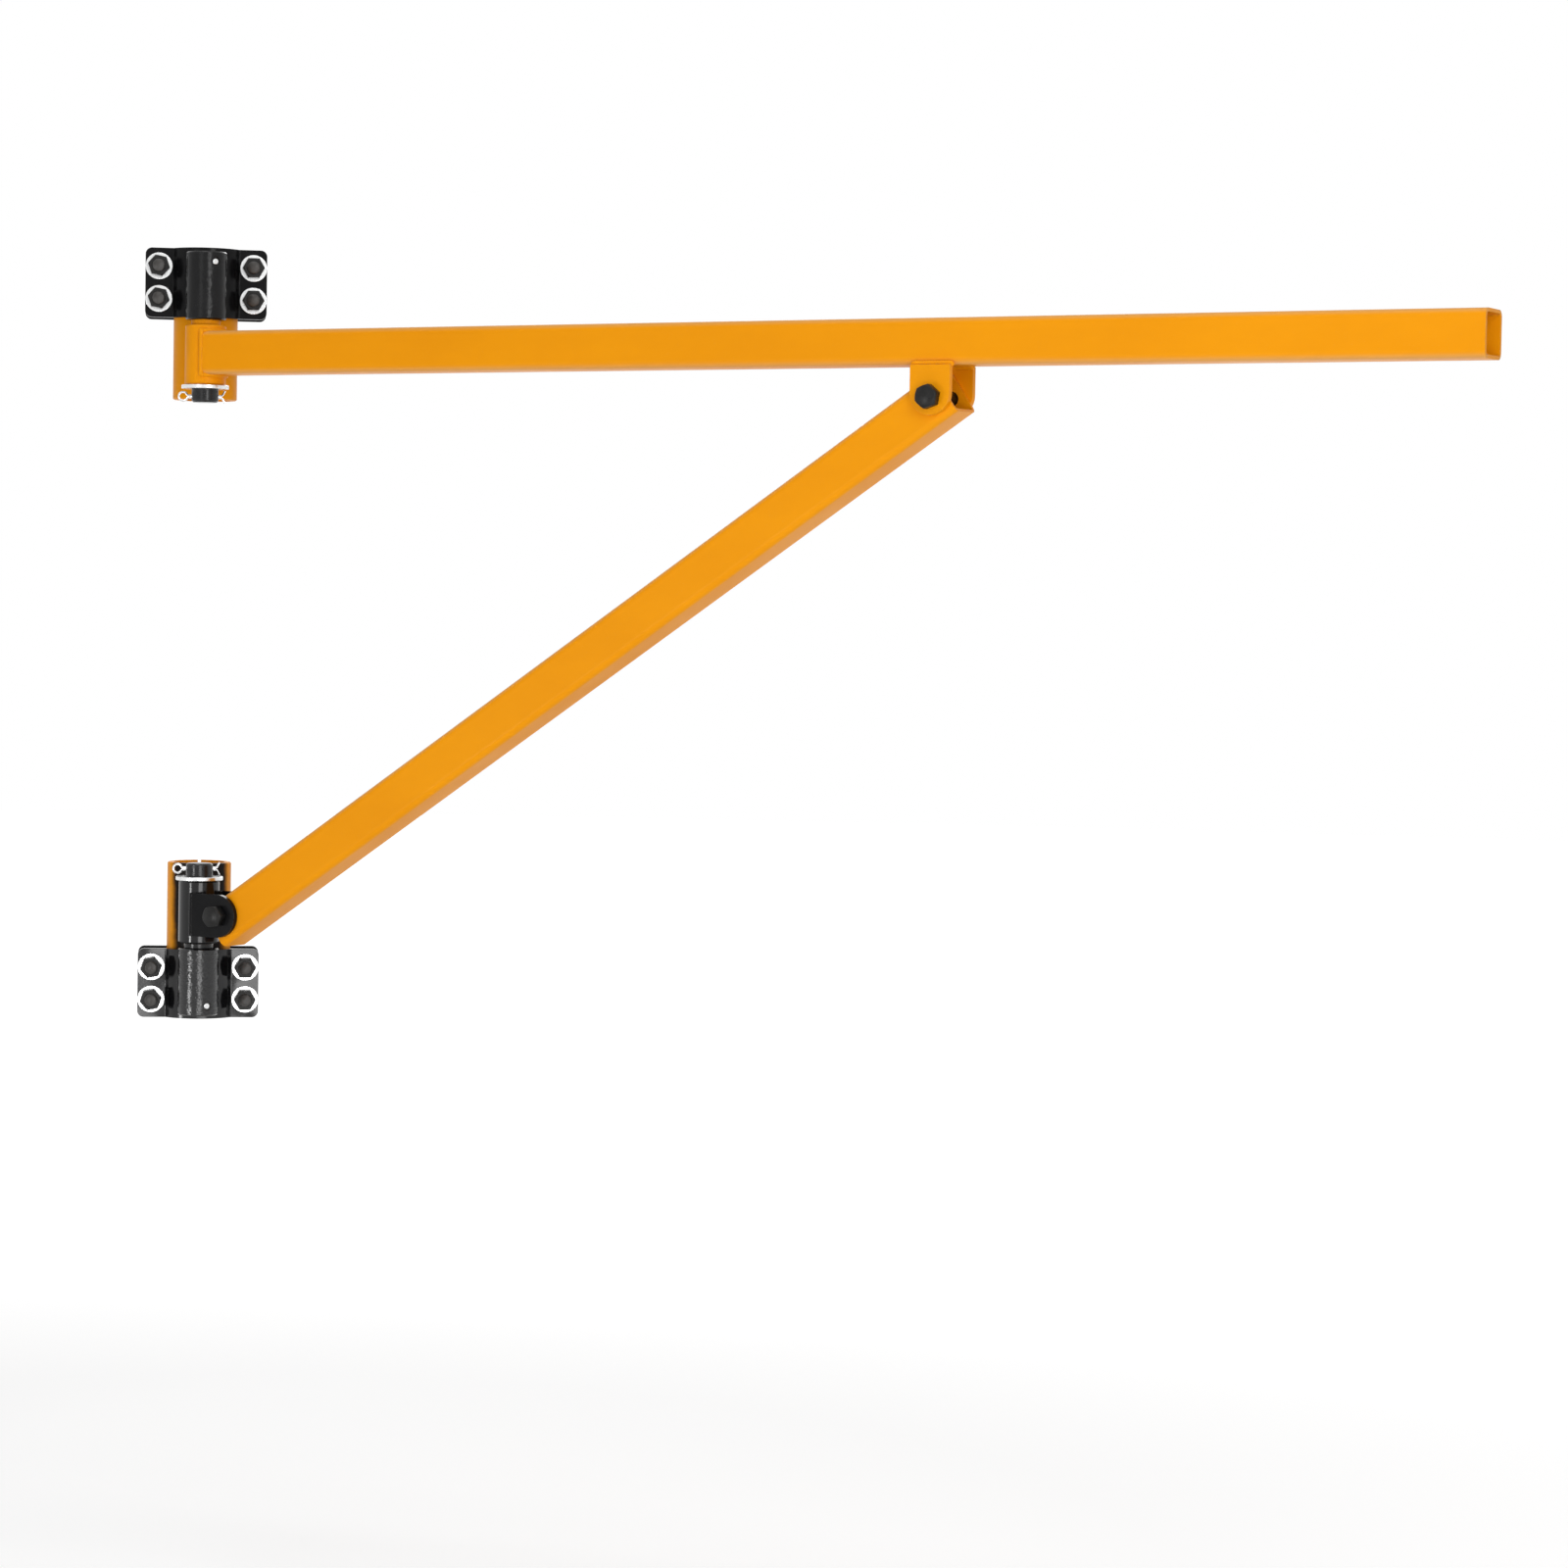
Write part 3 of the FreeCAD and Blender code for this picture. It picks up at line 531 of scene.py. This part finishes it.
def rippled_straight(node, body, slot, direction, depth=RIPPLE_DEPTH, slimmed=None):
    """Straight beads of one node, rippled along a direction. They may be slimmed first."""
    shape = merged_copy(node)
    if slimmed:
        slimmed(shape)
    low, high = (Vector(corner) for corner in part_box(node))
    run = (high - low).dot(direction)
    start = low + direction * (BAND_STEP / 2)
    cut_bands(shape, start, direction, BAND_STEP, int(run / BAND_STEP))
    shape.normal_update()
    middle = (low + high) / 2
    for vertex in shape.verts:
        offset = vertex.co - middle
        travel = offset.dot(direction)
        end_room = max(0.0, min(1.0, (run / 2 - abs(travel)) / RIPPLE_PITCH))
        side = (offset - direction * travel).length
        vertex.co += vertex.normal * (ripple(travel, side, depth) * end_room)
    stand_in(node, shape, body, slot)


for end in ("upper", "lower"):
    rippled_straight(end + "_tube_welds", "pole_clamps", "black_paint", UP)
rippled_straight("brace_ear_welds", "swing_arm", "black_paint", UP)

# %% [markdown]
# The two beads under the arm fill the corners between the arm and the lug's plates. The CAD
# beads are thick, so each one is first drawn in towards the corner that it fills, and made a
# little shorter, inside its own space. Its ripples are shallower too.

# %% Slim weld beads under the arm
ALONG = Vector((1, 0, 0))
LUG_X = 0.797387
LUG_BEAD_SIDE = 0.0204
LUG_BEAD_LEVEL = -0.0186
LUG_BEAD_SLIM = 0.6
LUG_BEAD_LENGTH = 0.87
LUG_RIPPLE_DEPTH = 0.00016


def slim_lug_bead(shape):
    """Draws each of the two beads in, towards the corner between the arm and its lug plate."""
    for vertex in shape.verts:
        side = math.copysign(1, vertex.co.y - PIVOT[1])
        corner = Vector((LUG_X, PIVOT[1] + side * LUG_BEAD_SIDE, LUG_BEAD_LEVEL))
        offset = vertex.co - corner
        vertex.co = corner + Vector((offset.x * LUG_BEAD_LENGTH, offset.y * LUG_BEAD_SLIM,
                                     offset.z * LUG_BEAD_SLIM))


rippled_straight("arm_lug_welds", "swing_arm", "orange_paint", ALONG, LUG_RIPPLE_DEPTH,
                 slim_lug_bead)

# %% [markdown]
# The bead round the arm's root is a closed loop on a square tube, so the distance along it is
# counted side by side. The bands run across X, Y and Z, which cuts every side of the loop finely.

# %% Rippled weld round the arm's root
ACROSS = Vector((0, 1, 0))
ROOT_STEP = 0.0007
root_low, root_high = (Vector(corner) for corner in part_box("arm_root_weld"))
root_middle = (root_low + root_high) / 2
shape = merged_copy("arm_root_weld")
for direction in (ALONG, ACROSS, UP):
    run = (root_high - root_low).dot(direction)
    start = root_low + direction * (ROOT_STEP / 2)
    cut_bands(shape, start, direction, ROOT_STEP, int(run / ROOT_STEP))
shape.normal_update()
side = (root_high.z - root_low.z) / 2
for vertex in shape.verts:
    over, rise = vertex.co.y - root_middle.y, vertex.co.z - root_middle.z
    if abs(rise) > abs(over):
        travel = math.copysign(1, rise) * over
    else:
        travel = 2 * side - math.copysign(1, over) * rise
    vertex.co += vertex.normal * ripple(travel, 0.0)
stand_in("arm_root_weld", shape, "swing_arm", "orange_paint")

# %% [markdown]
# A node of bolts holds several loose bolts in one mesh. Each bolt is found by walking from one of
# its vertices along the edges until no new vertex turns up. The middle of its box is on its axis.

# %% Find the bolts
def bolt_centres(node):
    """The middle of each separate bolt of a node."""
    shape = merged_copy(node)
    found = set()
    centres = []
    for first in shape.verts:
        if first in found:
            continue
        found.add(first)
        group = [first]
        for vertex in group:
            for edge in vertex.link_edges:
                other = edge.other_vert(vertex)
                if other not in found:
                    found.add(other)
                    group.append(other)
        low = Vector([min(vertex.co[index] for vertex in group) for index in range(3)])
        high = Vector([max(vertex.co[index] for vertex in group) for index in range(3)])
        centres.append((low + high) / 2)
    shape.free()
    return centres


CENTRES = {node: bolt_centres(node)
           for node in ("upper_clamp_bolts", "lower_clamp_bolts", "brace_bolts")}
print("bolts", {node: len(centres) for node, centres in CENTRES.items()})

# %% [markdown]
# The free end of each bolt shows a few turns of thread. The end of the bolt's copy is cut into
# fine bands, and each vertex there moves towards the bolt's axis by a depth that runs round it
# as a screw does: it depends on the distance along the axis and on the angle about it together.

# %% Threaded bolt ends
THREAD_PITCH = 0.00175
THREAD_DEPTH = 0.0009
THREAD_STEP = THREAD_PITCH / 7
THREAD_LENGTH = 0.0075
END_BEVEL = 0.0006
SHANK_RADIUS = 0.006
CORE_SHARE = 0.7


def off_axis(vector, axis):
    """The part of a vector that stands square to an axis."""
    return vector - axis * vector.dot(axis)


def threaded(node, body, axis):
    """Bolts of one node with a thread on their free ends. The axis points to the free end."""
    shape = merged_copy(node)
    base = max(vertex.co.dot(axis) for vertex in shape.verts) - THREAD_LENGTH
    count = int((THREAD_LENGTH - END_BEVEL) / THREAD_STEP) + 1
    cut_bands(shape, axis * base, axis, THREAD_STEP, count)
    side = axis.cross(UP).normalized()
    for vertex in shape.verts:
        along = vertex.co.dot(axis) - base
        if along < THREAD_STEP / 2:
            continue
        out = min((off_axis(vertex.co - centre, axis) for centre in CENTRES[node]),
                  key=lambda offset: offset.length)
        if out.length < SHANK_RADIUS * CORE_SHARE:
            continue
        turn = math.atan2(out.dot(UP), out.dot(side)) / (2 * math.pi)
        wave = abs(((along / THREAD_PITCH + turn) % 1.0) * 2 - 1)
        vertex.co -= out.normalized() * (THREAD_DEPTH * wave)
    stand_in(node, shape, body, "black_oxide")


for end in ("upper", "lower"):
    threaded(end + "_clamp_bolts", "pole_clamps", CLAMP_FRONT)
threaded("brace_bolts", "swing_arm", ACROSS)
